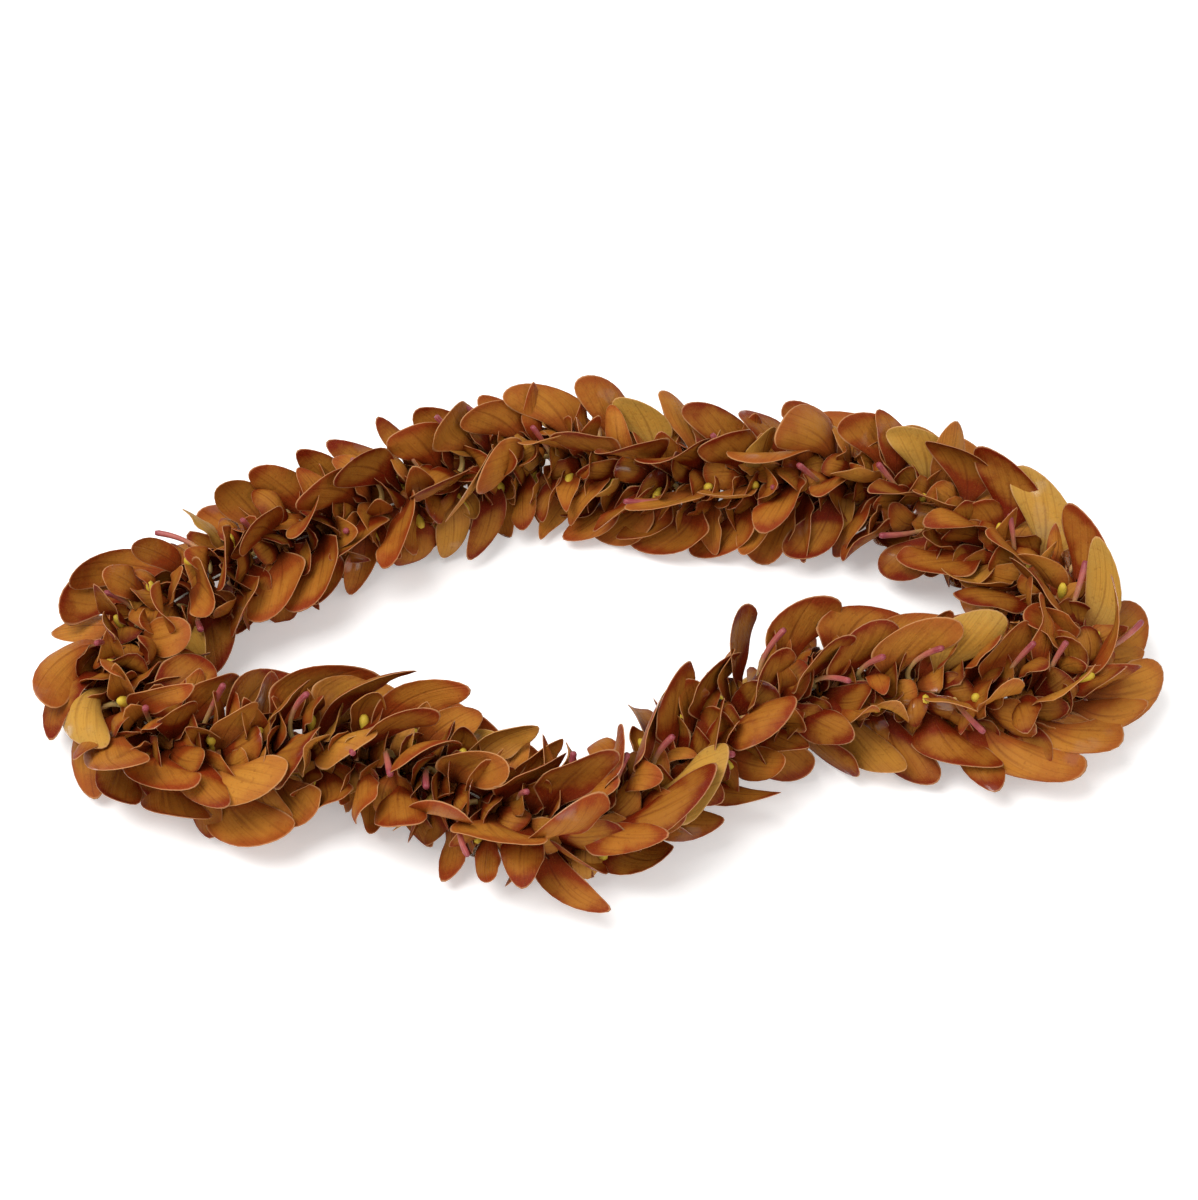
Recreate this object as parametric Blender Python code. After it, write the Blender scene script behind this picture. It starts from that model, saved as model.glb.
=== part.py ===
"""A flower lei: pairs of orchid blooms strung close together on a knotted thread, laid down as an open loop.

Lengths are in millimetres until a point is placed, and in metres from there on. A point of the garland is
given by how far it is along the thread, across it (outwards from the loop), and above it.
"""

import math
from bisect import bisect_right
from random import Random

import bmesh
import bpy
from mathutils import Vector
from mathutils.bvhtree import BVHTree

MM = 0.001

# The loop that the thread lies in, seen from above: anticlockwise from the right-hand end.
ROUTE = (
    (188, -14), (179, 12), (149, 42), (112, 74), (68, 66), (26, 65), (-14, 84), (-42, 80), (-66, 64),
    (-98, 49), (-138, 28), (-176, 0), (-190, -28), (-180, -58), (-148, -80), (-110, -70), (-82, -71),
    (-54, -88), (-24, -108), (6, -106), (30, -76), (62, -48), (98, -38), (138, -45), (168, -51), (186, -40),
)
MIDDLE = (3.35, -13.25)  # the middle of the finished lei, among the route points: it becomes the origin
THREAD_HEIGHT = 23.0
THREAD_DIAMETER = 1.0
KNOT_LENGTH = 3.0
KNOT_DIAMETER = 2.2
CRUSH = 0.0077  # how much the lower half is flattened, per mm, by lying on the table

PAIRS = 48
THREAD_POINTS = 2 * PAIRS  # one in the middle of each base and one between each two
BASE_RADIUS = 4.8
BASE_BORE_RADIUS = 1.4
BASE_HALF_LENGTH = 5.4
BASE_SIDES = 6
FACET = 2 * math.pi / BASE_SIDES
BLADE = 0.75  # thickness of a petal, sepal or lip
CLEARANCE = 0.15  # the least room left round a blade
LOWEST = -22.5  # how far below the thread a blade may reach, except the foot that the pair lies on
FOOT_BACK = 6.0  # how far upstream a foot goes on its way down
FOOT_RUN = 13.0  # and how far downstream it then lies along the table
STALK_STEP = 4.0  # how far a stalk stands off the end of its base
FIRST_SEED = 1000
TURN_PER_PAIR = 7.0  # each pair is turned this many degrees further round the thread than the last
SWEEP = 0.012  # how far downstream a blade bends, times its squared distance from the thread
MOST_STRETCH = 1.2  # how much wider a blade may get where it lies on the outer side of a bend
TRIES = 160

# The outline of each kind of blade: (part of its length, part of its width). Petals and sepals grow from a
# narrow claw, so that the blades of a bloom part before they spread. Then its ranges of width, of reach from
# the thread, and of turn in degrees, where 90 sets its width along the thread.
OUTLINES = {
    "petal": ((0.14, 0.20), (0.66, 1.00), (1.00, 0.42)),
    "sepal": ((0.14, 0.30), (0.55, 1.00), (1.00, 0.34)),
    "lip": ((0.55, 1.00), (1.00, 0.45)),
    "foot": ((0.46, 0.90), (1.00, 0.50)),
    "stalk": ((0.30, 1.10), (1.00, 0.85)),
}
WIDTHS = {"petal": (21, 27), "sepal": (13, 18), "lip": (11, 14), "foot": (18, 22), "stalk": (2.2, 2.6)}
REACHES = {"petal": (30, 38), "sepal": (28, 37), "lip": (22, 30), "foot": (30, 30), "stalk": (25, 33)}
TWISTS = {"petal": (47, 83), "sepal": (40, 90), "lip": (30, 90), "foot": (0, 0), "stalk": (0, 0)}

# The order in which a pair's blades find their room, and what grows from each of the six facets of a bloom:
# by its row, downstream or upstream, and its place in the row.
ORDER = ("foot", "stalk", "petal", "sepal", "lip")
BLOOM = {
    (1, 0): "petal", (1, 1): "sepal", (1, 2): "petal",
    (-1, 0): "sepal", (-1, 1): "lip", (-1, 2): "sepal",
}


class Loop:
    """A smooth closed curve close to the route points, measured along its length."""

    STEPS = 16

    def __init__(self, corners):
        self.corners = [Vector((x - MIDDLE[0], y - MIDDLE[1], 0)) for x, y in corners]
        self.marks = [0.0]
        for step in range(len(corners) * self.STEPS):
            start = self.blend(step / self.STEPS, self.place)
            end = self.blend((step + 1) / self.STEPS, self.place)
            self.marks.append(self.marks[-1] + (end - start).length)
        self.length = self.marks[-1]

    @staticmethod
    def place(f):
        middle = (3 * f**3 - 6 * f**2 + 4) / 6, (-3 * f**3 + 3 * f**2 + 3 * f + 1) / 6
        return (1 - f) ** 3 / 6, *middle, f**3 / 6

    @staticmethod
    def heading(f):
        return -(1 - f) ** 2 / 2, (3 * f**2 - 4 * f) / 2, (-3 * f**2 + 2 * f + 1) / 2, f**2 / 2

    def blend(self, turn, weights):
        first = math.floor(turn)
        point = Vector()
        for step, weight in enumerate(weights(turn - first)):
            point += self.corners[(first + step - 1) % len(self.corners)] * weight
        return point

    def at(self, distance):
        """The point at a distance along the loop, and the outward direction there."""
        distance %= self.length
        step = min(bisect_right(self.marks, distance), len(self.marks) - 1) - 1
        part = (distance - self.marks[step]) / (self.marks[step + 1] - self.marks[step])
        turn = (step + part) / self.STEPS
        along = self.blend(turn, self.heading).normalized()
        return self.blend(turn, self.place), Vector((along.y, -along.x, 0))


LOOP = Loop(ROUTE)
PITCH = LOOP.length / PAIRS


def to_world(along, across, height, sweep):
    """Places a point of the garland. Blades bend downstream, the more the further out they reach."""
    centre, outward = LOOP.at(along + sweep * (across * across + height * height))
    if height < 0:
        height += CRUSH * height * height
    level = max(THREAD_HEIGHT + height, BLADE / 2)
    return (centre + outward * across + Vector((0, 0, level))) * MM


class Blade:
    """One petal, sepal, lip or stalk: where it grows, how far it reaches, and how it is turned."""

    def __init__(self, kind, along, azimuth, row, draw, shrink):
        least, most = TWISTS[kind]
        self.kind, self.along, self.azimuth = kind, along, azimuth
        self.width = draw.uniform(*WIDTHS[kind]) * (1 - 0.5 * shrink)
        self.reach = draw.uniform(*REACHES[kind]) * (1 - 0.35 * shrink)
        self.twist = math.radians(draw.uniform(least * (1 - shrink), most + (90 - most) * shrink))
        self.sweep = SWEEP + draw.uniform(-0.004, 0.006)
        self.spread = math.radians(15 * row + draw.uniform(-11, 11) * (1 + 2 * shrink))
        self.lean = row * draw.uniform(-2, 4)
        self.curl = draw.uniform(-3, 4)
        self.thickness = BLADE
        if kind == "foot":
            self.sweep, self.twist = SWEEP, 0.0
        if kind == "stalk":
            self.thickness = self.width = draw.uniform(*WIDTHS[kind])
            self.twist = 0.0
        down = math.sin(azimuth + self.spread)
        if down < 0 and kind != "foot":
            self.reach = min(self.reach, LOWEST / down)

    def path(self, part):
        """The middle of the blade, a part of the way along it: along, across, height."""
        radius = BASE_RADIUS + (self.reach - BASE_RADIUS) * part
        turned = self.azimuth + self.spread * part**1.4
        shift = self.lean * part + self.curl * part**2
        if self.kind == "foot":
            fold = OUTLINES["foot"][0][0] - 0.03
            drop = min(1, part / fold)
            radius = BASE_RADIUS + (self.reach - BASE_RADIUS) * drop
            turned = self.azimuth + (-math.pi / 2 - self.azimuth) * drop
            shift = FOOT_RUN * max(0, part - fold) / (1 - fold) - FOOT_BACK * drop
        if self.kind == "stalk":
            middle = (BASE_RADIUS + BASE_BORE_RADIUS) / 2
            radius = middle + (self.reach - middle) * max(0, part) ** 1.35
            shift = -STALK_STEP * (1 - (1 - part) ** 4)
        return self.along + shift, radius * math.cos(turned), radius * math.sin(turned)

    def across(self, part):
        """The direction of the blade's width there: along, across, height."""
        _, across, height = self.path(part)
        azimuth = math.atan2(height, across)
        flat = math.cos(self.twist)
        return math.sin(self.twist), -math.sin(azimuth) * flat, math.cos(azimuth) * flat

    def section(self, part, half_width, thickness):
        """The four corners of the blade's section there, in the world."""
        middle, direction = self.path(part), self.across(part)
        before, after = self.path(part - 0.03), self.path(part + 0.03)
        left = to_world(*(m - half_width * d for m, d in zip(middle, direction)), self.sweep)
        right = to_world(*(m + half_width * d for m, d in zip(middle, direction)), self.sweep)
        centre, wide = (left + right) / 2, (right - left) / 2
        wide *= min(1, MOST_STRETCH * half_width * MM / wide.length)
        left, right = centre - wide, centre + wide
        forward = to_world(*after, self.sweep) - to_world(*before, self.sweep)
        facing = (right - left).cross(forward).normalized() * thickness / 2 * MM
        return left - facing, right - facing, right + facing, left + facing

    def sections(self, spare=0.0):
        return [
            self.section(part, self.width / 2 * share + spare, self.thickness + 2 * spare)
            for part, share in OUTLINES[self.kind]
        ]

    def turned(self, corners):
        """A facet's corners, in the order that meets the blade's own with the least twist."""
        shift = round(self.twist / (math.pi / 2))
        return corners[shift:] + corners[:shift]


def wrap(sections):
    """A search tree of the surface that joins four-cornered sections, to test what it crosses."""
    points = [corner for section in sections for corner in section]
    faces = []
    for start in range(0, len(points) - 4, 4):
        for a, b in ((0, 1), (3, 2), (1, 2), (0, 3)):
            a, b = start + a, start + b
            faces += [(a, b, b + 4), (a, b + 4, a + 4)]
    return BVHTree.FromPolygons(points, faces, all_triangles=True)


class Shape:
    """What other blades keep clear of: a blade's claw, next to the base, and its limb, or a base as both."""

    def __init__(self, claw, limb):
        self.claw, self.limb = claw, limb

    def crosses(self, other, same_base):
        if self.limb.overlap(other.limb) or self.limb.overlap(other.claw) or self.claw.overlap(other.limb):
            return True
        return not same_base and bool(self.claw.overlap(other.claw))


def turn_base(bm):
    """The base of a pair: a short ring turned about the thread, still straight and at the origin."""
    long, wide, bore = BASE_HALF_LENGTH, BASE_RADIUS, BASE_BORE_RADIUS
    profile = [(-long, bore), (-long, wide), (0, wide), (long, wide), (long, bore), (0, bore)]
    points = [bm.verts.new((along, radius, 0)) for along, radius in profile]
    edges = [bm.edges.new((point, points[index - 1])) for index, point in enumerate(points)]
    outline = points + edges
    bmesh.ops.spin(bm, geom=outline, axis=(1, 0, 0), angle=2 * math.pi, steps=BASE_SIDES, use_merge=True)
    bmesh.ops.recalc_face_normals(bm, faces=bm.faces)


class Seat:
    """A facet of a base that a blade grows from. Its corners are in the order of a blade's section."""

    def __init__(self, face, places, turn):
        spots = [places[vertex] for vertex in face.verts]
        self.face = face
        self.along = sum(along for along, _, _ in spots) / len(spots)
        self.row = 1 if self.along > 0 else -1
        across = sum(radius * math.cos(azimuth) for _, azimuth, radius in spots)
        height = sum(radius * math.sin(azimuth) for _, azimuth, radius in spots)
        self.azimuth = math.atan2(height, across)
        self.side = all(radius > BASE_RADIUS - 0.1 for _, _, radius in spots)
        level = 0 if self.side else 2
        middle = sum(spot[level] for spot in spots) / len(spots)
        self.step = math.floor((self.azimuth - turn) / FACET) % BASE_SIDES
        corners = {}
        for vertex, spot in zip(face.verts, spots):
            side = math.remainder(spot[1] - self.azimuth, 2 * math.pi)
            corners[spot[level] > middle, side > 0] = vertex
        order = (False, False), (False, True), (True, True), (True, False)
        self.corners = [corners.get(key) for key in order]


def seats_of(bm, index, turn):
    """Sets a base on the thread. Returns its side facets and its upstream end's, each in a fixed order."""
    places = {}
    for vertex in bm.verts:
        along, across, height = vertex.co
        places[vertex] = along, math.atan2(height, across) + turn, math.hypot(across, height)
    for vertex, (along, azimuth, radius) in places.items():
        spot = (index + 0.5) * PITCH + along, radius * math.cos(azimuth), radius * math.sin(azimuth)
        vertex.co = to_world(*spot, SWEEP)
    bmesh.ops.reverse_faces(bm, faces=bm.faces)
    seats = [Seat(face, places, turn) for face in bm.faces]
    sides = [seat for seat in seats if seat.side]
    ends = [seat for seat in seats if seat.along < -BASE_HALF_LENGTH + 0.1]
    for group in sides, ends:
        group.sort(key=lambda seat: (seat.row, seat.step))
    return sides, ends


def grow(bm, face, corners, sections):
    """Draws a facet out into a blade, and splits its two broad sides along the same diagonals."""
    for section in sections:
        order = [list(face.verts).index(corner) for corner in corners]
        face = bmesh.ops.extrude_discrete_faces(bm, faces=[face])["faces"][0]
        outer = [face.verts[index] for index in order]
        for corner, point in zip(outer, section):
            corner.co = point
        for left, right in ((0, 1), (3, 2)):
            on_left = set(corners[left].link_faces) & set(outer[left].link_faces)
            broad = next(face for face in outer[right].link_faces if face in on_left)
            bmesh.utils.face_split(broad, corners[left], outer[right])
        corners = outer


def pair_of_blooms(index, placed, string):
    """Models one pair on its base, clear of the thread and the pairs already placed.

    Returns its mesh, and how many blades found no room.
    """
    draw = Random(FIRST_SEED + index)
    turn = math.radians(TURN_PER_PAIR * index + draw.uniform(-8, 8))
    bm = bmesh.new()
    turn_base(bm)
    sides, ends = seats_of(bm, index, turn)
    foot = min((seat for seat in sides if seat.along > 0), key=lambda seat: math.sin(seat.azimuth))
    upwards = math.radians(draw.uniform(20, 160))
    stalk = min(ends, key=lambda seat: abs(math.remainder(seat.azimuth - upwards, 2 * math.pi)))
    near = [[string]] + placed[-3:] + (placed[:3] if index > PAIRS - 4 else [])
    kinds = {foot: "foot", stalk: "stalk"}
    base = BVHTree.FromBMesh(bm)
    for seat in sides:
        kinds.setdefault(seat, BLOOM[seat.row, seat.step % 3])
    grown, missing = [], 0
    for seat, kind in sorted(kinds.items(), key=lambda entry: ORDER.index(entry[1])):
        root = [corner.co.copy() for corner in seat.corners]
        for attempt in range(TRIES):
            along = (index + 0.5) * PITCH + seat.along
            blade = Blade(kind, along, seat.azimuth, seat.row, draw, attempt / TRIES)
            spaced = blade.sections(CLEARANCE)
            new = Shape(wrap([blade.turned(root), spaced[0]]), wrap(spaced))
            if any(new.crosses(old, True) for old in grown):
                continue
            if any(new.crosses(old, False) for pair in near for old in pair):
                continue
            grown.append(new)
            grow(bm, seat.face, blade.turned(seat.corners), blade.sections())
            break
        else:
            missing += 1
    bmesh.ops.triangulate(bm, faces=[face for face in bm.faces if len(face.verts) > 3])
    placed.append(grown + [Shape(base, base)])
    return bm, missing


def make_object(name, bm, material, collection):
    mesh = bpy.data.meshes.new(name)
    bm.to_mesh(mesh)
    bm.free()
    mesh.materials.append(material)
    mesh.shade_smooth()
    mesh.set_sharp_from_angle(angle=math.radians(40))
    thing = bpy.data.objects.new(name, mesh)
    collection.objects.link(thing)
    return thing


def plain_material(name, colour, roughness):
    material = bpy.data.materials.new(name)
    material.use_nodes = True
    shader = material.node_tree.nodes["Principled BSDF"]
    shader.inputs["Base Color"].default_value = (*colour, 1)
    shader.inputs["Roughness"].default_value = roughness
    shader.inputs["Metallic"].default_value = 0.0
    return material


def thread(material, collection):
    """The thread: a closed tube, with the small knot that ties its ends after the last pair."""
    curve = bpy.data.curves.new("thread_route", "CURVE")
    curve.dimensions = "3D"
    curve.bevel_depth = THREAD_DIAMETER / 2 * MM
    curve.bevel_resolution = 1
    spline = curve.splines.new("POLY")
    spline.points.add(THREAD_POINTS - 1)
    spline.use_cyclic_u = True
    for number, point in enumerate(spline.points):
        spot, _ = LOOP.at(number * LOOP.length / THREAD_POINTS)
        point.co = (spot.x * MM, spot.y * MM, THREAD_HEIGHT * MM, 1)
    route = bpy.data.objects.new("thread_route", curve)
    collection.objects.link(route)
    mesh = bpy.data.meshes.new_from_object(route.evaluated_get(bpy.context.evaluated_depsgraph_get()))
    bpy.data.objects.remove(route)
    bm = bmesh.new()
    bm.from_mesh(mesh)
    bmesh.ops.remove_doubles(bm, verts=bm.verts, dist=0.00001)
    tube = make_object("thread", bm, material, collection)
    spot, outward = LOOP.at(0)
    onward = Vector((-outward.y, outward.x, 0))
    bm = bmesh.new()
    bmesh.ops.create_icosphere(bm, subdivisions=1, radius=1)
    for vertex in bm.verts:
        across, along, up = vertex.co
        place = outward * across * KNOT_DIAMETER / 2 + onward * along * KNOT_LENGTH / 2
        vertex.co = (spot + place + Vector((0, 0, THREAD_HEIGHT + up * KNOT_DIAMETER / 2))) * MM
    knot = make_object("knot", bm, material, collection)
    join = tube.modifiers.new("knot", "BOOLEAN")
    join.operation = "UNION"
    join.object = knot
    whole = bpy.data.meshes.new_from_object(tube.evaluated_get(bpy.context.evaluated_depsgraph_get()))
    bpy.data.objects.remove(knot)
    tube.modifiers.clear()
    tube.data = whole
    return tube


def clear_scene():
    for thing in list(bpy.data.objects):
        bpy.data.objects.remove(thing)


def surface_tree(mesh):
    return BVHTree.FromPolygons([v.co for v in mesh.vertices], [p.vertices for p in mesh.polygons])


def build():
    clear_scene()
    lei = bpy.data.collections.new("lei")
    bpy.context.scene.collection.children.link(lei)
    petal_flesh = plain_material("petal_flesh", (0.42, 0.14, 0.02), 0.55)
    cotton = plain_material("cotton", (0.80, 0.76, 0.66), 0.8)
    string = surface_tree(thread(cotton, lei).data)
    placed = []
    missing = 0
    for index in range(PAIRS):
        bm, left_out = pair_of_blooms(index, placed, Shape(string, string))
        missing += left_out
        make_object(f"bloom_pair_{index + 1:02d}", bm, petal_flesh, lei)
    print("blades left out:", missing)


build()
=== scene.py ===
"""The looks of an orchid lei: fine petals, columns, stalks and thread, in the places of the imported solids.

Lengths are in millimetres until a point is placed, and in metres from there on. A point of the garland is
given by how far it is along the thread, across it (outwards from the loop), and above it.
"""

import math
from random import Random

import bpy
import numpy as np
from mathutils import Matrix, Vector
from mathutils.kdtree import KDTree


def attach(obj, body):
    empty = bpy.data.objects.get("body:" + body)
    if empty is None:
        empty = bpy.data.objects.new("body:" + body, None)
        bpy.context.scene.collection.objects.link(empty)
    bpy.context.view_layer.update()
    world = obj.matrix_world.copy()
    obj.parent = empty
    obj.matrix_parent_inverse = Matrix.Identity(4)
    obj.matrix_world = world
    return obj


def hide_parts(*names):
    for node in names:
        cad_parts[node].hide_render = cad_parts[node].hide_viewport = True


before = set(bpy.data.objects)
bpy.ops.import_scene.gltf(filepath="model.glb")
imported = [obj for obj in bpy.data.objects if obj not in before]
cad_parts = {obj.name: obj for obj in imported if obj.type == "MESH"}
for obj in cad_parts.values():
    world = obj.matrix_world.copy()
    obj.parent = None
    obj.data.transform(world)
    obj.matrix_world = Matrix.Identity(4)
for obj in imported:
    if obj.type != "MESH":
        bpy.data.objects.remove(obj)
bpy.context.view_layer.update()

# The thread is white cotton of three plies twisted together, and it goes through the base of every bloom.
# It lies in the open loop that the lei was laid down in, and a knot closes it after the last pair.
MM = 0.001
ROUTE = (
    (188, -14), (179, 12), (149, 42), (112, 74), (68, 66), (26, 65), (-14, 84), (-42, 80), (-66, 64),
    (-98, 49), (-138, 28), (-176, 0), (-190, -28), (-180, -58), (-148, -80), (-110, -70), (-82, -71),
    (-54, -88), (-24, -108), (6, -106), (30, -76), (62, -48), (98, -38), (138, -45), (168, -51), (186, -40),
)
MIDDLE = (3.35, -13.25)
THREAD_HEIGHT = 23.0
PLIES = 3
PLY_RADIUS = 0.26
PLY_OFF_CENTRE = 0.24
TWIST_LENGTH = 3.6  # one turn of the plies round each other
THREAD_STEP = 0.6
KNOT_RADIUS = 0.5  # a third of how far the knot reaches
KNOT_POINTS = 72
KNOT_CORD_RADIUS = PLY_RADIUS * 1.6  # of the whole thread, pulled tight
CUT_END = 4.5  # the length left over at each side of the knot
CUT_END_RISE = 1.5
CUT_END_POINTS = 8
COTTON = (0.80, 0.76, 0.66)


class Loop:
    """A smooth closed curve close to the route points, measured along its length."""

    STEPS = 16

    def __init__(self, corners):
        self.corners = np.array(corners, float) - MIDDLE
        self.turns = np.arange(len(corners) * self.STEPS + 1) / self.STEPS
        pieces = np.diff(self.blend(self.turns, self.place), axis=0)
        self.marks = np.concatenate(([0.0], np.cumsum(np.linalg.norm(pieces, axis=1))))
        self.length = self.marks[-1]

    @staticmethod
    def place(f):
        middle = (3 * f**3 - 6 * f**2 + 4) / 6, (-3 * f**3 + 3 * f**2 + 3 * f + 1) / 6
        return (1 - f) ** 3 / 6, *middle, f**3 / 6

    @staticmethod
    def heading(f):
        return -((1 - f) ** 2) / 2, (3 * f**2 - 4 * f) / 2, (-3 * f**2 + 2 * f + 1) / 2, f**2 / 2

    def blend(self, turns, weights):
        first = np.floor(turns).astype(int)
        near = [self.corners[(first + step - 1) % len(self.corners)] for step in range(4)]
        return sum(corner * weight[..., None] for corner, weight in zip(near, weights(turns - first)))

    def at(self, distance):
        """The points at these distances along the loop, and the outward directions there, seen from above."""
        turns = np.interp(np.mod(distance, self.length), self.marks, self.turns)
        along = self.blend(turns, self.heading)
        along /= np.linalg.norm(along, axis=-1, keepdims=True)
        return self.blend(turns, self.place), np.stack((along[..., 1], -along[..., 0]), axis=-1)


LOOP = Loop(ROUTE)


def unit(vectors):
    return vectors / np.maximum(np.linalg.norm(vectors, axis=-1, keepdims=True), 1e-12)


def grid_faces(numbers, closed):
    """The quads of a grid of point numbers, whose columns may close on themselves."""
    if closed:
        numbers = np.concatenate((numbers, numbers[:, :1]), axis=1)
    corners = numbers[:-1, :-1], numbers[:-1, 1:], numbers[1:, 1:], numbers[1:, :-1]
    return np.stack(corners, axis=-1).reshape(-1, 4)


class Form:
    """Points and faces of one piece as it is put together, with the tint and the spot of each point."""

    def __init__(self):
        self.points, self.faces, self.tints, self.spots, self.finishes = [], [], [], [], []
        self.count = 0

    def add(self, points, faces, tint, spots, finish=0):
        """Adds a part of the piece, all of one tint.

        A spot tells a material where a point is: along the part, across it, and how near its rim, all 0 to 1.
        The tint gets a fourth number, which differs from petal to petal, so that their veins differ too.
        """
        self.points.append(points)
        self.tints.append(np.broadcast_to((*tint, self.count % 997 / 97), (len(points), 4)))
        self.spots.append(np.broadcast_to(spots, points.shape))
        self.faces += [[int(number) + self.count for number in face] for face in faces]
        self.finishes += [finish] * len(faces)
        self.count += len(points)

    def add_tube(self, points, radii, sides, tint, finish=0, closed=False):
        """A round tube of changing width along a line of points."""
        ways = unit(np.gradient(points, axis=0))
        if closed:
            ways = unit(np.roll(points, -1, axis=0) - np.roll(points, 1, axis=0))
        side = unit(np.cross(ways[0], (0.31, 0.17, 0.93)))
        turns = np.linspace(0, 2 * math.pi, sides, endpoint=False)
        rings = []
        for point, way, radius in zip(points, ways, np.broadcast_to(radii, len(points))):
            side = unit(side - way * np.dot(side, way))
            other = np.cross(way, side)
            rings.append(point + radius * (np.outer(np.cos(turns), side) + np.outer(np.sin(turns), other)))
        numbers = np.arange(len(points) * sides).reshape(-1, sides)
        if closed:
            slip = min(range(sides), key=lambda k: np.linalg.norm(rings[0][k] - rings[-1][0]))
            faces = list(grid_faces(numbers, True))
            faces += list(grid_faces(np.stack((numbers[-1], np.roll(numbers[0], -slip))), True))
        else:
            faces = list(grid_faces(numbers, True)) + [numbers[0][::-1], numbers[-1]]
        share = np.repeat(np.linspace(0, 1, len(points)), sides)
        spots = np.stack((share, np.tile(turns / (2 * math.pi), len(points)), 0 * share), axis=-1)
        self.add(np.concatenate(rings), faces, tint, spots, finish)

    def make(self, name, *materials):
        mesh = bpy.data.meshes.new(name)
        mesh.from_pydata(np.concatenate(self.points).tolist(), [], self.faces)
        for material in materials:
            mesh.materials.append(material)
        mesh.polygons.foreach_set("material_index", self.finishes)
        tints = mesh.attributes.new("tint", "FLOAT_COLOR", "POINT")
        tints.data.foreach_set("color", np.concatenate(self.tints).ravel())
        spots = mesh.attributes.new("spot", "FLOAT_VECTOR", "POINT")
        spots.data.foreach_set("vector", np.concatenate(self.spots).ravel())
        mesh.shade_smooth()
        mesh.update()
        thing = bpy.data.objects.new(name, mesh)
        bpy.context.scene.collection.objects.link(thing)
        return thing


class Wire:
    """A number or a colour that varies over a surface. Maths on numbers adds the nodes for it."""

    def __init__(self, finish, socket):
        self.finish, self.socket = finish, socket

    def combine(self, operation, *values):
        return self.finish.node("ShaderNodeMath", {"operation": operation}, dict(enumerate(values)))

    def __add__(self, other):
        return self.combine("ADD", self, other)

    def __sub__(self, other):
        return self.combine("SUBTRACT", self, other)

    def __rsub__(self, other):
        return self.combine("SUBTRACT", other, self)

    def __mul__(self, other):
        return self.combine("MULTIPLY", self, other)

    def __abs__(self):
        return self.combine("ABSOLUTE", self)

    __radd__ = __add__
    __rmul__ = __mul__

    def ramp(self, start, end):
        """0 up to start and 1 from end on, smooth between them. It falls where end is less than start."""
        settings = {"interpolation_type": "SMOOTHSTEP"}
        if start < end:
            limits = {"From Min": start, "From Max": end, "To Min": 0.0, "To Max": 1.0}
        else:
            limits = {"From Min": end, "From Max": start, "To Min": 1.0, "To Max": 0.0}
        return self.finish.node("ShaderNodeMapRange", settings, {"Value": self, **limits})


class Finish:
    """A material as it is made. Values for the shader's own sockets are the same all over the surface."""

    def __init__(self, name, values):
        self.material = bpy.data.materials.new(name)
        self.material.use_nodes = True
        self.tree = self.material.node_tree
        self.shader = self.tree.nodes["Principled BSDF"]
        self.feed(self.shader, values)

    def feed(self, node, values):
        for name, value in values.items():
            if isinstance(value, Wire):
                self.tree.links.new(value.socket, node.inputs[name])
            else:
                node.inputs[name].default_value = value

    def node(self, kind, settings, values, output=0):
        made = self.tree.nodes.new(kind)
        for name, value in settings.items():
            setattr(made, name, value)
        self.feed(made, values)
        return Wire(self, made.outputs[output])

    def mix(self, factor, first, second):
        """From the first colour to the second as the factor goes from 0 to 1."""
        return self.node("ShaderNodeMix", {"data_type": "RGBA"}, {0: factor, 6: first, 7: second}, 2)

    def noise(self, scale, detail=2.0):
        """Cloudy noise, 0 to 1, with so many clouds a metre."""
        place = self.node("ShaderNodeTexCoord", {}, {}, "Object")
        return self.node("ShaderNodeTexNoise", {}, {"Vector": place, "Scale": scale, "Detail": detail})

    def streaks(self, lengthwise, crosswise):
        """Noise drawn out along a part, with so many clouds along it and across it, unlike on each petal."""
        stretch = {"Vector": self.spot()[0], "Scale": (lengthwise, crosswise, 0)}
        values = {"Vector": self.node("ShaderNodeMapping", {}, stretch), "Scale": 1.0}
        values["W"] = self.node("ShaderNodeAttribute", {"attribute_name": "tint"}, {}, "Alpha")
        return self.node("ShaderNodeTexNoise", {"noise_dimensions": "4D"}, values)

    def spot(self):
        """Where a point is along its part, across it, and how near the rim."""
        vector = self.node("ShaderNodeAttribute", {"attribute_name": "spot"}, {}, "Vector")
        split = self.node("ShaderNodeSeparateXYZ", {}, {"Vector": vector}).socket.node
        return vector, *(Wire(self, output) for output in split.outputs)

    def tint(self):
        return self.node("ShaderNodeAttribute", {"attribute_name": "tint"}, {}, "Color")

    def bump(self, height, distance, strength=1.0):
        values = {"Height": height, "Distance": distance, "Strength": strength}
        self.feed(self.shader, {"Normal": self.node("ShaderNodeBump", {}, values)})


def cotton():
    finish = Finish("cotton", {"Specular IOR Level": 0.25, "Sheen Weight": 0.3, "Sheen Roughness": 0.6})
    fibres = finish.noise(2600, 3)
    shade = finish.mix(fibres.ramp(0.35, 0.75), (*(0.82 * c for c in COTTON), 1), (*COTTON, 1))
    finish.feed(finish.shader, {"Base Color": shade, "Roughness": 0.75 + 0.2 * fibres})
    finish.bump(fibres, 0.00008)
    return finish.material


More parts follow.
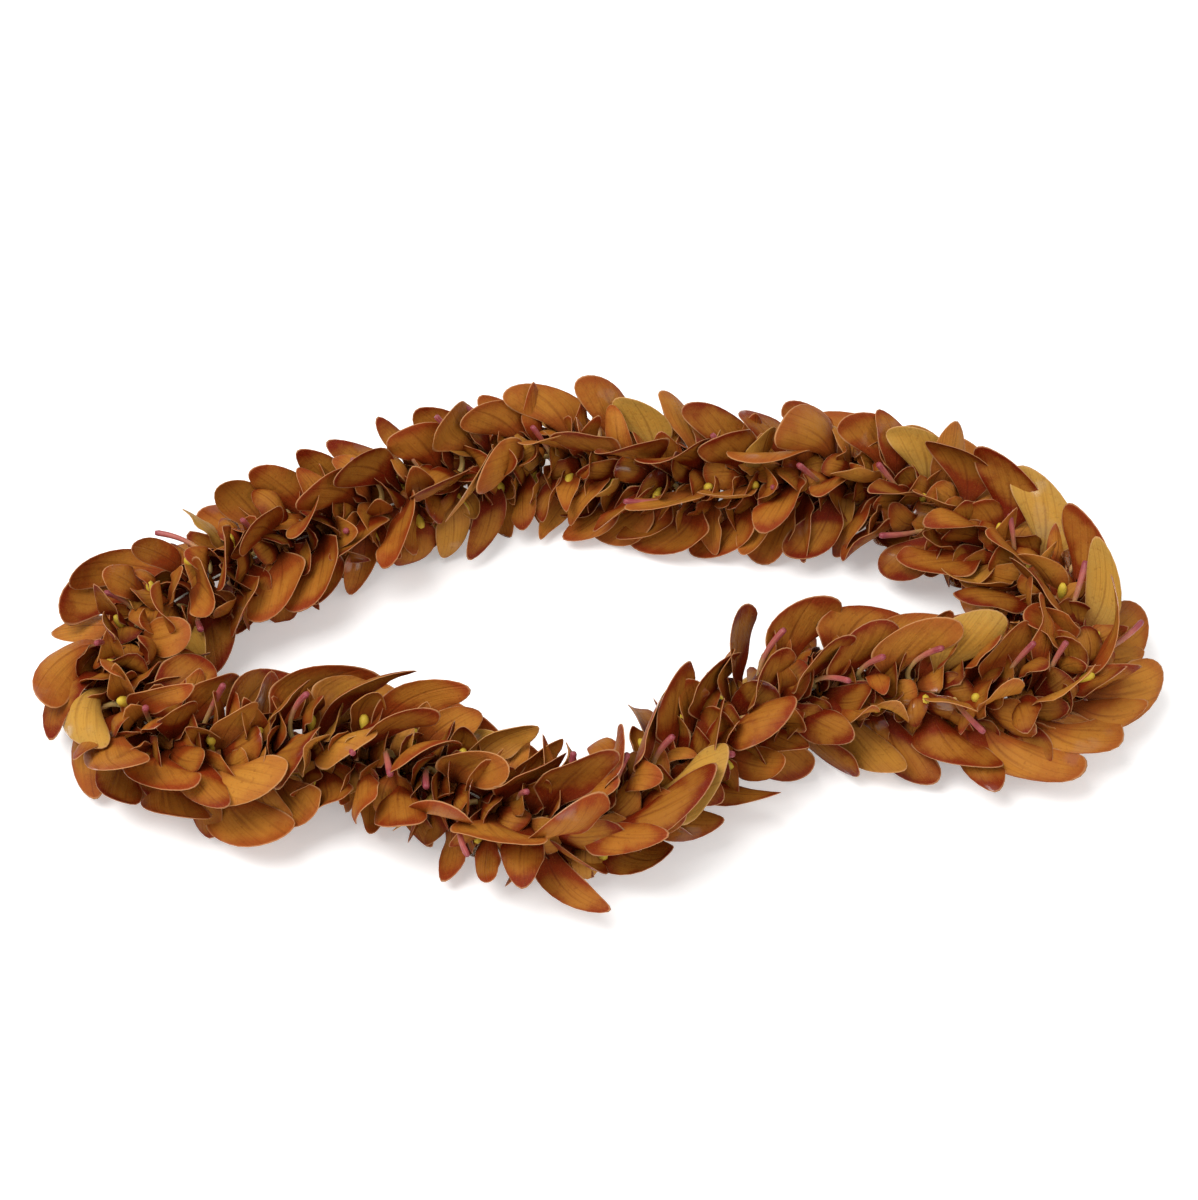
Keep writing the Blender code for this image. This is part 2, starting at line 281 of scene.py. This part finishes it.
def thread():
    form = Form()
    steps = round(LOOP.length / THREAD_STEP)
    turns = round(LOOP.length / TWIST_LENGTH)
    shares = np.arange(steps) / steps
    spots, outward = LOOP.at(shares * LOOP.length)
    for ply in range(PLIES):
        angle = 2 * math.pi * (turns * shares + ply / PLIES)
        spot = spots + outward * (PLY_OFF_CENTRE * np.cos(angle))[:, None]
        height = THREAD_HEIGHT + PLY_OFF_CENTRE * np.sin(angle)
        form.add_tube(np.column_stack((spot, height)) * MM, PLY_RADIUS * MM, 5, COTTON, closed=True)
    spot, outward = (vector[0] for vector in LOOP.at(np.zeros(1)))
    centre = np.array((*spot, THREAD_HEIGHT))
    across, along, up = np.array((*outward, 0)), np.array((-outward[1], outward[0], 0)), np.array((0, 0, 1))
    t = np.linspace(0, 2 * math.pi, KNOT_POINTS, endpoint=False)
    trefoil = np.sin(t) + 2 * np.sin(2 * t), np.cos(t) - 2 * np.cos(2 * t), -np.sin(3 * t)
    knot = centre + KNOT_RADIUS * np.stack(trefoil, axis=-1) @ np.stack((across, along, up))
    form.add_tube(knot * MM, KNOT_CORD_RADIUS * MM, 8, COTTON, closed=True)
    for way in -1, 1:
        share = np.linspace(0, 1, CUT_END_POINTS)[:, None]
        end = centre + across * (KNOT_RADIUS + share * CUT_END) + up * share * CUT_END_RISE
        end += way * along * (1 + 2 * share**2)
        form.add_tube(end * MM, KNOT_CORD_RADIUS * MM, 8, COTTON)
    piece = form.make("twisted_thread", cotton())
    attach(piece, "root")
    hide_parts("thread")


thread()

# The blooms are dendrobium orchids, strung in pairs. Each has two broad petals, three narrower sepals, a lip
# and a column, on a fleshy base that the thread pierces, and one in two keeps a stalk. Each petal is drawn by
# the rule of the solids, in the same order, and stays where its solid has the same tip.
PAIRS = 48
PITCH = LOOP.length / PAIRS
BASE_RADIUS = 4.8
BASE_BORE_RADIUS = 1.4
BASE_HALF_LENGTH = 5.4
BASE_SIDES = 6
FACET = 2 * math.pi / BASE_SIDES
BLADE = 0.75
LOWEST = -22.5  # below the thread, just above the table
FOOT_BACK = 6.0  # a foot is a petal bent down to the table, where it lies flat from its fold on
FOOT_RUN = 13.0
FOOT_FOLD = 0.43
STALK_STEP = 4.0
CRUSH = 0.0077  # how the lei's own weight flattens what lies below the thread
SWEEP = 0.012  # how much blades lean along the thread, more the further out they are
MOST_STRETCH = 1.2  # how much wider a blade may get where it lies on the outer side of a bend
FIRST_SEED = 1000
TURN_PER_PAIR = 7.0  # degrees
TRIES = 160  # each try leaves a blade smaller, in the solids too, until it finds room
TIP_SHARES = {  # the width of the solid's straight tip, of the blade's own width
    "petal": 0.42, "sepal": 0.34, "lip": 0.45, "foot": 0.50, "stalk": 0.85,
}
WIDTHS = {"petal": (21, 27), "sepal": (13, 18), "lip": (11, 14), "foot": (18, 22), "stalk": (2.2, 2.6)}
REACHES = {"petal": (30, 38), "sepal": (28, 37), "lip": (22, 30), "foot": (30, 30), "stalk": (25, 33)}
TWISTS = {"petal": (47, 83), "sepal": (40, 90), "lip": (30, 90), "foot": (0, 0), "stalk": (0, 0)}
ORDER = ("foot", "stalk", "petal", "sepal", "lip")
BLOOM = {  # by the row on the base, and the place in a bloom
    (1, 0): "petal", (1, 1): "sepal", (1, 2): "petal",
    (-1, 0): "sepal", (-1, 1): "lip", (-1, 2): "sepal",
}
SAME_PLACE = 0.03 * MM  # how close a drawn tip lies to its solid's


def to_world(along, across, height, sweep):
    centre, outward = LOOP.at(along + sweep * (across**2 + height**2))
    height = np.where(height < 0, height + CRUSH * height**2, height)
    level = np.maximum(THREAD_HEIGHT + height, BLADE / 2)
    flat = centre + outward * np.asarray(across)[..., None]
    return np.concatenate((flat, level[..., None]), axis=-1) * MM


class Blade:
    """One petal, sepal, lip or stalk: where it grows, how far it reaches, and how it is turned."""

    def __init__(self, kind, along, azimuth, row, draw, shrink):
        least, most = TWISTS[kind]
        self.kind, self.along, self.azimuth = kind, along, azimuth
        self.width = draw.uniform(*WIDTHS[kind]) * (1 - 0.5 * shrink)
        self.reach = draw.uniform(*REACHES[kind]) * (1 - 0.35 * shrink)
        self.twist = math.radians(draw.uniform(least * (1 - shrink), most + (90 - most) * shrink))
        self.sweep = SWEEP + draw.uniform(-0.004, 0.006)
        self.spread = math.radians(15 * row + draw.uniform(-11, 11) * (1 + 2 * shrink))
        self.lean = row * draw.uniform(-2, 4)
        self.curl = draw.uniform(-3, 4)
        self.thickness = BLADE
        if kind == "foot":
            self.sweep, self.twist = SWEEP, 0.0
        if kind == "stalk":
            self.thickness = self.width = draw.uniform(*WIDTHS[kind])
            self.twist = 0.0
        down = math.sin(azimuth + self.spread)
        if down < 0 and kind != "foot":
            self.reach = min(self.reach, LOWEST / down)

    def spine(self, part):
        """The middle of the blade, a part of the way along it: along, across, height."""
        part = np.asarray(part, float)
        radius = BASE_RADIUS + (self.reach - BASE_RADIUS) * part
        turned = self.azimuth + self.spread * np.maximum(part, 0) ** 1.4
        shift = self.lean * part + self.curl * part**2
        if self.kind == "foot":
            drop = np.minimum(1, part / FOOT_FOLD)
            radius = BASE_RADIUS + (self.reach - BASE_RADIUS) * drop
            turned = self.azimuth + (-math.pi / 2 - self.azimuth) * drop
            shift = FOOT_RUN * np.maximum(0, part - FOOT_FOLD) / (1 - FOOT_FOLD) - FOOT_BACK * drop
        if self.kind == "stalk":
            middle = (BASE_RADIUS + BASE_BORE_RADIUS) / 2
            radius = middle + (self.reach - middle) * np.maximum(0, part) ** 1.35
            shift = -STALK_STEP * (1 - (1 - part) ** 4)
        return self.along + shift, radius * np.cos(turned), radius * np.sin(turned)

    def at(self, part, out):
        """The point that is so many millimetres out to the side of the spine there."""
        along, across, height = self.spine(part)
        azimuth = np.arctan2(height, across)
        near, far = (
            to_world(
                along + side * math.sin(self.twist),
                across - np.sin(azimuth) * side * math.cos(self.twist),
                height + np.cos(azimuth) * side * math.cos(self.twist),
                self.sweep,
            )
            for side in (-np.asarray(out), np.asarray(out))
        )
        centre, wide = (near + far) / 2, (far - near) / 2
        most = MOST_STRETCH * np.abs(out)[..., None] * MM
        width = np.maximum(np.linalg.norm(wide, axis=-1, keepdims=True), 1e-9)
        return centre + wide * np.minimum(1, most / width)

    def facing(self, part, half_width):
        """The direction that the blade's face looks in."""
        part = np.asarray(part, float)
        forward = self.at(part + 0.03, 0.0) - self.at(part - 0.03, 0.0)
        return unit(np.cross(self.at(part, half_width) - self.at(part, -half_width), forward))

    def has_solid(self, corners):
        """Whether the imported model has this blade: its tip's four corners are then among that solid's."""
        half = self.width / 2 * TIP_SHARES[self.kind]
        off = self.facing(1.0, half) * self.thickness / 2 * MM
        tips = [self.at(1.0, side * half) + way * off for side in (-1, 1) for way in (-1, 1)]
        return all(corners.find(tip)[2] < SAME_PLACE for tip in tips)


def blades_of(index):
    """The blades of one pair, each as it was drawn when its solid found room, and the pair's turn."""
    draw = Random(FIRST_SEED + index)
    turn = math.radians(TURN_PER_PAIR * index + draw.uniform(-8, 8))
    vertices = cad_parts[f"bloom_pair_{index + 1:02d}"].data.vertices
    corners = KDTree(len(vertices))
    for number, vertex in enumerate(vertices):
        corners.insert(vertex.co, number)
    corners.balance()
    azimuths = [math.remainder(turn + FACET * (step + 0.5), 2 * math.pi) for step in range(BASE_SIDES)]
    seats = [(row, step) for row in (-1, 1) for step in range(BASE_SIDES)]
    foot = min((seat for seat in seats if seat[0] > 0), key=lambda seat: math.sin(azimuths[seat[1]]))
    upwards = math.radians(draw.uniform(20, 160))
    end = min(range(BASE_SIDES), key=lambda step: abs(math.remainder(azimuths[step] - upwards, 2 * math.pi)))
    kinds = {foot: "foot", (-2, end): "stalk"}
    for seat in seats:
        kinds.setdefault(seat, BLOOM.get((seat[0], seat[1] % 3)))
    blades = []
    for (place, step), kind in sorted(kinds.items(), key=lambda entry: ORDER.index(entry[1])):
        along = (index + 0.5) * PITCH + place * BASE_HALF_LENGTH / 2
        row = math.copysign(1, place)
        for attempt in range(TRIES):
            blade = Blade(kind, along, azimuths[step], row, draw, attempt / TRIES)
            if blade.has_solid(corners):
                blades.append(blade)
                break
    return blades, turn


# A petal or sepal is one thin waxy sheet: a narrow claw at the thread, broad and rounded further out, cupped,
# with a crease down its middle and a rim that waves. The lip is smaller, folded like a trough, and its side
# lobes stand up round the thread. A part of the way along a blade is 0 at the base and 1 at the solid's tip.
PETAL_GRID = (19, 14)  # quads along a petal, and across it
LOBE_GRID = (10, 8)
PETAL_THICKNESS = 0.55
PETAL_START = -0.04
TIP_END = 1.03
ROWS_CLOSE_UP = 1.5  # the rows of quads lie closer together towards the tip
PROFILES = {  # where it is widest, its claw's share of that width, how it widens, and how its tip rounds off
    "petal": (0.71, 0.15, 2.60, 2.1, 0.50),
    "sepal": (0.57, 0.24, 1.50, 1.8, 0.58),
    "lip": (0.55, 0.38, 1.00, 1.5, 0.70),
    "foot": (0.71, 0.20, 2.20, 2.1, 0.50),
    "lobe": (0.60, 0.55, 1.00, 2.1, 0.50),
}
FULLER = {  # than the solid's straight-sided outline
    "petal": 1.20, "sepal": 1.14, "lip": 1.0, "foot": 1.05, "lobe": 1.0,
}
CUPS = {  # how far the rims rise over the middle
    "petal": (0.5, 4.0), "sepal": (0.3, 3.6), "lip": (2.2, 4.6), "foot": (0.2, 0.7), "lobe": (1.0, 3.0),
}
CUP_CHANGES = (-0.5, 1, 1, 1, 1, 1.5)  # one petal in six is cupped the other way, and one is cupped more
CUP_LEVEL = 0.35  # what is taken off, so that a cup leaves the petal where its solid is
CLAW_END = 0.12
CLAW_OPENING = 0.4  # the part in which the claw opens into the cup
CLAW_FOLD = 0.8
CREASE_DEPTHS = (0.15, 0.5)
CREASE_WIDTH = 0.13  # of the half width
BEND_START = 0.45
BENDS = (-28, 20)  # times the square of the part past the start
TURNS = (-4.5, 4.5)  # how far the rims turn at the tip, one up and one down
RIPPLES = (1.2, 3.0)
RIPPLE_HEIGHTS = (0.3, 1.3)
FOOT_FLATNESS = 0.3
DYED_END = 2.4  # how far a dyed petal goes on the scale from rust, 0, over orange-brown and ochre to gold, 3
GOLDEN_PLACE = 2.99
WARMTH = 0.38
WARMTH_SPREAD = 0.36
RUST = np.array((0.15, 0.010, 0.001))
ORANGE_BROWN = np.array((0.26, 0.040, 0.006))
OCHRE = np.array((0.36, 0.115, 0.018))
GOLD = np.array((0.42, 0.225, 0.042))
GOLDEN_SHARE = 0.035  # of petals that hardly took the dye
RED_STRETCH = (36, 46)  # the pairs that took more of the red dye
RED_STRETCH_LOSS = 0.24
LOBE_RINGS = ((3.7, 7), (-3.5, 5))  # where along the base each ring of lobes grows, and how many there are
LOBE_WIDTH = (12.0, 17.0)
LOBE_REACH = (12.0, 20.0)
LOBE_LEAN = (6.0, 11.0)
LOBE_TWIST = (-30, 30)  # degrees
# Painted shade: the lobes stand deep among the petals round the thread, so their tint is darkened, most in
# green and blue.
LOBE_PAINTED_SHADE = np.array((0.8, 0.6, 0.5))


def petal_shape(blade, looks, grid):
    """A petal's middle surface, as a grid of points, with how far along, across and near the rim each is."""
    widest, claw, widening, roundness, blunt = PROFILES[blade.kind]
    across = np.sin(np.linspace(-1, 1, grid[1] + 1) * math.pi / 2)
    down = 1 - (1 - np.linspace(0, 1, grid[0] + 1)) ** ROWS_CLOSE_UP
    end = widest + (TIP_END - widest) * (1 - np.abs(across) ** roundness) ** blunt
    part = PETAL_START + down[:, None] * (end - PETAL_START)
    across = np.broadcast_to(across, part.shape)
    rise = np.clip((part - 0.03) / (widest - 0.03), 0, 1)
    share = claw + (1 - claw) * np.sin(rise * math.pi / 2) ** widening
    out = across * share * blade.width / 2 * FULLER[blade.kind]
    surface = blade.at(part, out)
    grown = np.clip((part - CLAW_END) / CLAW_OPENING, 0, 1)
    grown = grown * grown * (3 - 2 * grown)
    cup = looks.uniform(*CUPS[blade.kind])
    if blade.kind in ("petal", "sepal"):
        cup *= looks.choice(CUP_CHANGES)
    lift = cup * (across**2 - CUP_LEVEL) * grown + CLAW_FOLD * across**2 * (1 - grown)
    crease = np.exp(-((across / CREASE_WIDTH) ** 2)) * (1 - 0.7 * part)
    lift -= looks.uniform(*CREASE_DEPTHS) * crease * grown
    lift += looks.uniform(*BENDS) * np.maximum(0, part - BEND_START) ** 2
    lift += looks.uniform(*TURNS) * across * grown * part
    for side in -1, 1:
        ripples, phase = looks.uniform(*RIPPLES), looks.uniform(0, 2 * math.pi)
        height = looks.uniform(*RIPPLE_HEIGHTS)
        edge = np.maximum(0, side * across) ** 2.5
        lift += height * edge * grown * np.sin(2 * math.pi * ripples * part + phase)
    if blade.kind == "foot":
        lift *= FOOT_FLATNESS
    surface = surface + blade.facing(part, 4.0) * lift[..., None] * MM
    rim = np.maximum(np.abs(across), down[:, None] ** 4)
    return surface, part, across, rim


def add_petal(form, blade, tint, looks, grid=PETAL_GRID):
    surface, part, across, rim = petal_shape(blade, looks, grid)
    normals = unit(np.cross(np.gradient(surface, axis=1), np.gradient(surface, axis=0)))
    half = PETAL_THICKNESS / 2 * MM * np.sqrt(np.clip(1 - rim**8, 0, 1))[..., None]
    numbers = np.arange(part.size).reshape(part.shape)
    inner = (slice(1, -1), slice(1, -1))
    under = numbers.copy()
    under[inner] = part.size + np.arange(numbers[inner].size).reshape(numbers[inner].shape)
    top = surface.copy()
    top[inner] += (normals * half)[inner]
    bottom = (surface - normals * half)[inner]
    points = np.concatenate((top.reshape(-1, 3), bottom.reshape(-1, 3)))
    points[:, 2] = np.maximum(points[:, 2], 0.0)
    spots = np.stack((np.clip(part, 0, 1), 0.5 + across / 2, rim), axis=-1)
    spots = np.concatenate((spots.reshape(-1, 3), spots[inner].reshape(-1, 3)))
    faces = np.concatenate((grid_faces(numbers, False), grid_faces(under, False)[:, ::-1]))
    form.add(points, faces, tint, spots)


def petal_tint(index, looks):
    """The dye took unevenly: most petals are orange-brown, some rust-red, some ochre or nearly gold."""
    red = 1 if RED_STRETCH[0] <= index <= RED_STRETCH[1] else 0
    warmth = looks.gauss(WARMTH - RED_STRETCH_LOSS * red, WARMTH_SPREAD)
    scale = (RUST, ORANGE_BROWN, OCHRE, GOLD)
    place = min(max(warmth * DYED_END, 0), DYED_END)
    if looks.random() < GOLDEN_SHARE:
        place = GOLDEN_PLACE
    first = int(place)
    return scale[first] + (scale[first + 1] - scale[first]) * (place - first)


def add_lobes(form, index, turn, looks):
    """The folded side lobes of the lips. They stand round the thread like a funnel, up to the next base."""
    for start, lobes in LOBE_RINGS:
        for lobe in range(lobes):
            azimuth = turn + 2 * math.pi * (lobe + looks.uniform(-0.25, 0.25)) / lobes
            along = (index + 0.5) * PITCH + start + looks.uniform(-0.8, 0.8)
            blade = Blade("lip", along, azimuth, 1, looks, 0.0)
            blade.kind = "lobe"
            blade.width = looks.uniform(*LOBE_WIDTH)
            blade.reach = looks.uniform(*LOBE_REACH)
            blade.lean = looks.uniform(*LOBE_LEAN)
            blade.twist = math.radians(looks.uniform(*LOBE_TWIST))
            # The lobes' tint is darkened as painted shade.
            add_petal(form, blade, petal_tint(index, looks) * LOBE_PAINTED_SHADE, looks, LOBE_GRID)


# The dark red here is partly the petals' own dye and partly painted shade, and the gold is partly their own
# colour and partly painted light.
RED_DYE_AND_PAINTED_SHADE = (0.095, 0.010, 0.002, 1)
GOLDEN_FLESH_AND_PAINTED_LIGHT = (0.54, 0.255, 0.030, 1)
# A painted highlight: the pale rim stands for the velvet sheen that catches the petals' edges.
PAINTED_RIM_SHEEN = (0.60, 0.32, 0.14, 1)
PATCH_PLACE = 0.7  # where along a petal the golden patch is centred, partly the petal's own paler colour and partly painted light where it is most lit


def petal_flesh():
    finish = Finish("petal_flesh", {
        "Specular IOR Level": 0.1, "Subsurface Weight": 0.06, "Subsurface Radius": (1.0, 0.3, 0.08),
        "Subsurface Scale": 0.001, "Coat Roughness": 0.14,
    })
    _, along, across, rim = finish.spot()
    tint = finish.tint()
    clouds = finish.noise(120, 3)
    mottle = finish.noise(700, 5)
    specks = finish.noise(3000, 3)
    veins = finish.streaks(1.2, 26)
    off_middle = abs(across - 0.5) * 2
    red = finish.mix(0.8, tint, RED_DYE_AND_PAINTED_SHADE)
    gold = finish.mix(0.62, tint, GOLDEN_FLESH_AND_PAINTED_LIGHT)
    past = along - PATCH_PLACE  # far is 0 in the middle of the golden patch, and grows towards claw and edges
    far = past * past * 7 + off_middle * off_middle * 0.45 + 0.9 * (clouds - 0.5)
    # Partly the petal's own two-tone colour and partly painted light and shade: gold in the middle, where the
    # petal is most lit, and red towards the edges and towards the claw, which lies in shade where the petals
    # crowd at the thread.
    colour = finish.mix(far.ramp(0.6, 0.0) * 0.7, tint, gold)
    colour = finish.mix(far.ramp(0.55, 1.8) * 0.85, colour, red)
    colour = finish.mix(veins.ramp(0.5, 0.68) * 0.3, colour, red)
    # Painted shade: the crease down the middle of the petal is darkened to red towards the claw.
    colour = finish.mix(off_middle.ramp(0.09, 0.0) * along.ramp(1.0, 0.5) * 0.5, colour, red)
    colour = finish.mix(mottle.ramp(0.45, 0.25) * 0.35, colour, red)
    colour = finish.mix(specks.ramp(0.55, 0.72) * 0.35, colour, gold)
    # Painted highlight: a pale rim along the petal's edge, for its sheen.
    colour = finish.mix(rim.ramp(0.93, 0.99) * 0.65, colour, PAINTED_RIM_SHEEN)
    wet = finish.noise(60, 1).ramp(0.64, 0.72)
    finish.feed(finish.shader, {"Base Color": colour, "Roughness": 0.45 + 0.2 * mottle, "Coat Weight": wet})
    relief = veins * 0.7 + mottle * 0.8 + specks * 0.3 + 0.4 * off_middle.ramp(0.0, 0.08)
    finish.bump(relief, 0.0003, 0.9)
    return finish.material


# The base of each pair is a fleshy brown knob with the thread through its middle, lobed where petals grow.
# Out of it stand the columns, short waxy yellow-green clubs, red-brown at their feet, between the petals.
BASE_PROFILE = (
    (-5.3, 1.5), (-5.2, 2.9), (-4.4, 4.1), (-2.7, 4.75), (0.0, 4.2),
    (2.7, 4.75), (4.4, 4.1), (5.2, 2.9), (5.3, 1.5), (2.0, 1.45), (-2.0, 1.45),
)
BASE_ROUND = 24
BASE_LOBE = 0.05
COLUMN_RADII = (1.5, 1.35, 1.2, 1.15, 1.2, 1.45, 1.7, 1.75, 1.45, 0.8)
COLUMN_REACH = (13.0, 17.5)
COLUMN_LEANS = (-3.5, -1.0)
COLUMN_GREEN = np.array((0.62, 0.44, 0.045))
COLUMN_FOOT_RED = (0.22, 0.04, 0.006, 1)
COLUMN_CAP = (0.66, 0.55, 0.14, 1)
BASE_BROWN = np.array((0.24, 0.075, 0.008))


def add_base(form, index, turn):
    angles = np.linspace(0, 2 * math.pi, BASE_ROUND, endpoint=False)
    along, radius = (np.array(side)[:, None] for side in zip(*BASE_PROFILE))
    radius = radius * (1 + BASE_LOBE * np.cos(BASE_SIDES * (angles - turn - FACET / 2)))
    along = np.broadcast_to(along + (index + 0.5) * PITCH, radius.shape)
    points = to_world(along, radius * np.cos(angles), radius * np.sin(angles), SWEEP).reshape(-1, 3)
    numbers = np.arange(len(points)).reshape(radius.shape)
    ring = np.concatenate((numbers, numbers[:1]))
    form.add(points, grid_faces(ring, True)[:, ::-1], BASE_BROWN, (0.3, 0.5, 0.0), 1)


def add_column(form, index, azimuth, looks):
    share = np.linspace(0, 1, len(COLUMN_RADII))
    reach = looks.uniform(*COLUMN_REACH)
    radius = BASE_RADIUS - 1 + (reach - BASE_RADIUS + 1) * share
    lean = looks.uniform(*COLUMN_LEANS)
    turned = azimuth + looks.uniform(-0.25, 0.25) * share
    along = (index + 0.5) * PITCH + lean * share**1.6
    points = to_world(along, radius * np.cos(turned), radius * np.sin(turned), SWEEP)
    radii = np.array(COLUMN_RADII) * looks.uniform(1.0, 1.25) * MM
    form.add_tube(points, radii, 10, COLUMN_GREEN, 1)


def waxy_green():
    finish = Finish("waxy_green", {
        "Specular IOR Level": 0.15, "Subsurface Weight": 0.15, "Subsurface Radius": (1.0, 0.7, 0.2),
        "Subsurface Scale": 0.0015,
    })
    _, along, _, _ = finish.spot()
    specks = finish.noise(1400, 3)
    clouds = finish.noise(300, 2)
    foot = (along + 0.3 * clouds).ramp(0.65, 0.1)
    colour = finish.mix(foot * 0.7, finish.tint(), COLUMN_FOOT_RED)
    colour = finish.mix(specks.ramp(0.55, 0.75) * 0.3, colour, COLUMN_CAP)
    finish.feed(finish.shader, {"Base Color": colour, "Roughness": 0.4 + 0.15 * specks})
    finish.bump(specks, 0.00012)
    return finish.material


# A stalk is the flower's own stem, cut short: a bent fleshy rod, cream where it leaves the flower and pink to
# magenta at its cut end. It is thinnest at the middle of its length.
STALK_POINTS = 22
STALK_SIDES = 12
STALK_CREAM = (0.56, 0.38, 0.12, 1)
STALK_PINK = (0.42, 0.10, 0.08, 1)
STALK_MAGENTA = (0.26, 0.035, 0.05, 1)
STALK_LINES = (0.58, 0.32, 0.24, 1)
STALK_CUT_WIDTH = 0.72  # of the rod's, where the edge of the cut is rounded


def add_stalk(form, blade):
    share = np.linspace(0, 1, STALK_POINTS)
    points = blade.at(share, 0.0)
    radii = blade.width / 2 * (0.98 - 0.22 * np.sin(share * math.pi) ** 2 + 0.08 * share**6)
    radii[-1] *= STALK_CUT_WIDTH
    points[-1] = points[-2] + (points[-1] - points[-2]) * 0.5
    form.add_tube(points, radii * MM, STALK_SIDES, (1, 1, 1), 2)


def stalk_flesh():
    finish = Finish("stalk_flesh", {
        "Specular IOR Level": 0.4, "Subsurface Weight": 0.25, "Subsurface Radius": (1.0, 0.5, 0.4),
        "Subsurface Scale": 0.0015, "Coat Roughness": 0.3,
    })
    _, along, _, _ = finish.spot()
    clouds = finish.noise(260, 2)
    lines = finish.streaks(0.8, 22)
    place = along + 0.3 * (clouds - 0.5)
    colour = finish.mix(place.ramp(0.35, 0.85), STALK_CREAM, STALK_PINK)
    colour = finish.mix(place.ramp(0.80, 1.0), colour, STALK_MAGENTA)
    colour = finish.mix(lines.ramp(0.5, 0.7) * 0.3, colour, STALK_LINES)
    finish.feed(finish.shader, {"Base Color": colour, "Roughness": 0.42 + 0.12 * clouds})
    finish.bump(lines, 0.00015)
    return finish.material


def blooms():
    materials = petal_flesh(), waxy_green(), stalk_flesh()
    for index in range(PAIRS):
        looks = Random(index)
        form = Form()
        blades, turn = blades_of(index)
        add_base(form, index, turn)
        for bloom in range(2):
            add_column(form, index, turn + FACET * (1.5 + 3 * bloom), looks)
        add_lobes(form, index, turn, looks)
        for blade in blades:
            if blade.kind == "stalk":
                add_stalk(form, blade)
            else:
                add_petal(form, blade, petal_tint(index, looks), looks)
        number = f"{index + 1:02d}"
        piece = form.make(f"blooms_{number}", *materials)
        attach(piece, "root")
        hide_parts(f"bloom_pair_{number}")


blooms()

# The lei lies on a plain pale table in soft studio light, seen from the front at half height.
TABLE_SIZE = 6
TABLE_WHITE = (0.90, 0.90, 0.89, 1)
TABLE_GREY = (0.86, 0.86, 0.86, 1)
TABLE_GLOW = 0.3  # it makes the table as white as the background of the picture
ROOM_LIGHT = 0.62
SOFTBOXES = (  # where each stands, how wide it is, and its power in watts
    ("key_softbox", (-0.5, -0.2, 1.3), 0.8, 17.0),
    ("fill_softbox", (0.9, -0.7, 0.9), 0.9, 3.5),
)
TARGET = Vector((-MIDDLE[0], -MIDDLE[1], 26.0)) * MM
CAMERA_ELEVATION = math.radians(50)
CAMERA_DISTANCE = 0.9
IMAGE_WIDTH = 1198  # the picture's size, and the camera's focal length, in its pixels
IMAGE_HEIGHT = 1200
FOCAL_PIXELS = 2250
SENSOR = 36.0


def studio():
    bpy.ops.mesh.primitive_plane_add(size=TABLE_SIZE)
    table = bpy.context.object
    table.name = "table"
    finish = Finish("table_white", {
        "Roughness": 0.6, "Specular IOR Level": 0.2,
        "Emission Color": (1, 1, 1, 1), "Emission Strength": TABLE_GLOW,
    })
    grain = finish.noise(40, 2)
    finish.feed(finish.shader, {"Base Color": finish.mix(grain * 0.1, TABLE_WHITE, TABLE_GREY)})
    table.data.materials.append(finish.material)
    scene = bpy.context.scene
    scene.view_settings.view_transform = "Standard"
    world = bpy.data.worlds.new("soft_room")
    world.use_nodes = True
    background = world.node_tree.nodes["Background"]
    background.inputs["Color"].default_value = (1, 1, 1, 1)
    background.inputs["Strength"].default_value = ROOM_LIGHT
    scene.world = world
    for name, place, size, power in SOFTBOXES:
        lamp = bpy.data.lights.new(name, "AREA")
        lamp.size = size
        lamp.energy = power
        thing = bpy.data.objects.new(name, lamp)
        thing.location = place
        thing.rotation_euler = (TARGET - thing.location).to_track_quat("-Z", "Y").to_euler()
        scene.collection.objects.link(thing)
    lens = bpy.data.cameras.new("camera")
    lens.sensor_width = SENSOR
    lens.lens = SENSOR * FOCAL_PIXELS / max(IMAGE_WIDTH, IMAGE_HEIGHT)
    camera = bpy.data.objects.new("camera", lens)
    back = Vector((0, -math.cos(CAMERA_ELEVATION), math.sin(CAMERA_ELEVATION)))
    camera.location = TARGET + back * CAMERA_DISTANCE
    camera.rotation_euler = (-back).to_track_quat("-Z", "Y").to_euler()
    scene.collection.objects.link(camera)
    scene.camera = camera


studio()
